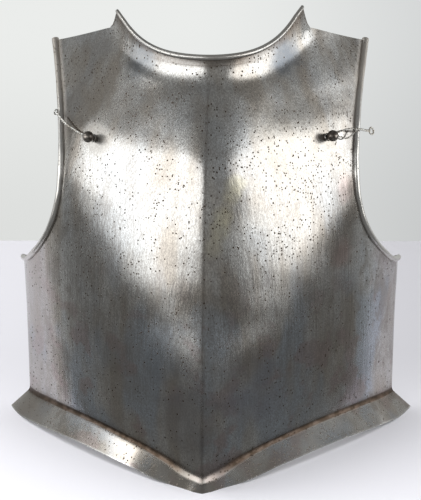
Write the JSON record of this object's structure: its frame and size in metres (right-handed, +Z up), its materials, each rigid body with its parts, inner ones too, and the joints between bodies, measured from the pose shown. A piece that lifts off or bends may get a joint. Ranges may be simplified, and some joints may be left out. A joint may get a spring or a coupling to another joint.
{
  "type": "steel cuirass breastplate",
  "caption": "Forged steel breastplate with a medial ridge, rolled neck and armhole edges, a flared waist flange, ball-headed strap studs and twisted wire ties; guards a wearer's chest.",
  "frame": {"origin": "centre of the plate's outline on the surface that it stands on, under the middle of its box", "axes": "+Z up along the plate from the waist flange to the neck, the front with the ridge towards -Y, the hollow open towards +Y"},
  "size_m": [0.3722, 0.2094, 0.3796],
  "materials": {
    "forged_steel": "old bright steel, brushed upright, with pits and brown and blue stains",
    "stud_steel": "dark brown-grey polished steel",
    "wire_steel": "bright drawn wire with dull dirt in the twist"
  },
  "bodies": {
    "root": {"breastplate": "forged_steel", "left_strap_stud": "stud_steel", "right_strap_stud": "stud_steel", "left_wire_tie": "wire_steel", "right_wire_tie": "wire_steel"}
  },
  "joints": []
}
